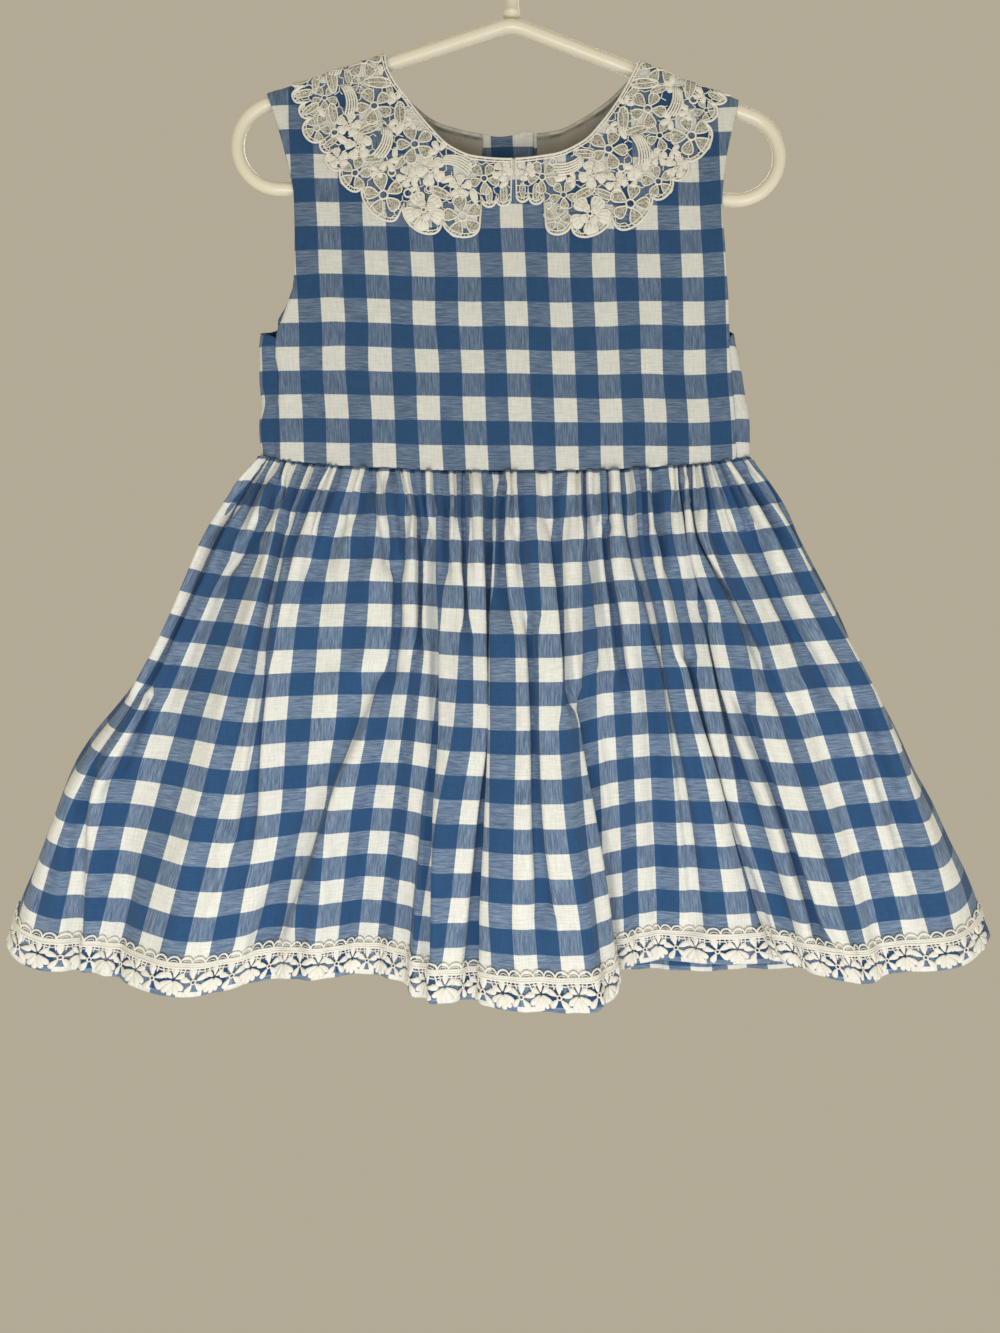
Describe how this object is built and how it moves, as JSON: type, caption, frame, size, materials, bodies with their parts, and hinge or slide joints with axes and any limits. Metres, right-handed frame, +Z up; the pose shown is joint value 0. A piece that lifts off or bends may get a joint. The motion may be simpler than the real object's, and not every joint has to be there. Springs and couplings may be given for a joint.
{
  "type": "gingham dress on a hanger",
  "caption": "Child's sleeveless gingham dress with a lace collar, gathered skirt and lace hem, hanging flat on a white plastic tube hanger.",
  "frame": {"origin": "the inside top of the hanger's hook, where it rests on its rail", "axes": "+Z up along the hanging dress, -Y towards whoever faces the front, +X to the right of the front view"},
  "size_m": [0.5342, 0.1025, 0.604],
  "materials": {
    "gingham": "matt woven cotton, blue and white check",
    "white_lace": "matt openwork cotton lace",
    "white_cotton": "matt plain cotton lining",
    "hanger_plastic": "smooth, softly glossy moulded plastic",
    "button": "pearly, softly glossy"
  },
  "bodies": {
    "root": {"hanger_bow": "hanger_plastic", "hanger_hook": "hanger_plastic", "bodice_front": "gingham", "bodice_back_left": "gingham", "bodice_back_right": "gingham", "collar_left": "white_lace", "collar_right": "white_lace", "neck_facing_left": "white_cotton", "neck_facing_right": "white_cotton", "skirt_front": "gingham", "skirt_back": "gingham", "hem_lace_front": "white_lace", "hem_lace_back": "white_lace", "button_1": "button", "button_2": "button", "button_3": "button", "button_4": "button"}
  },
  "joints": []
}
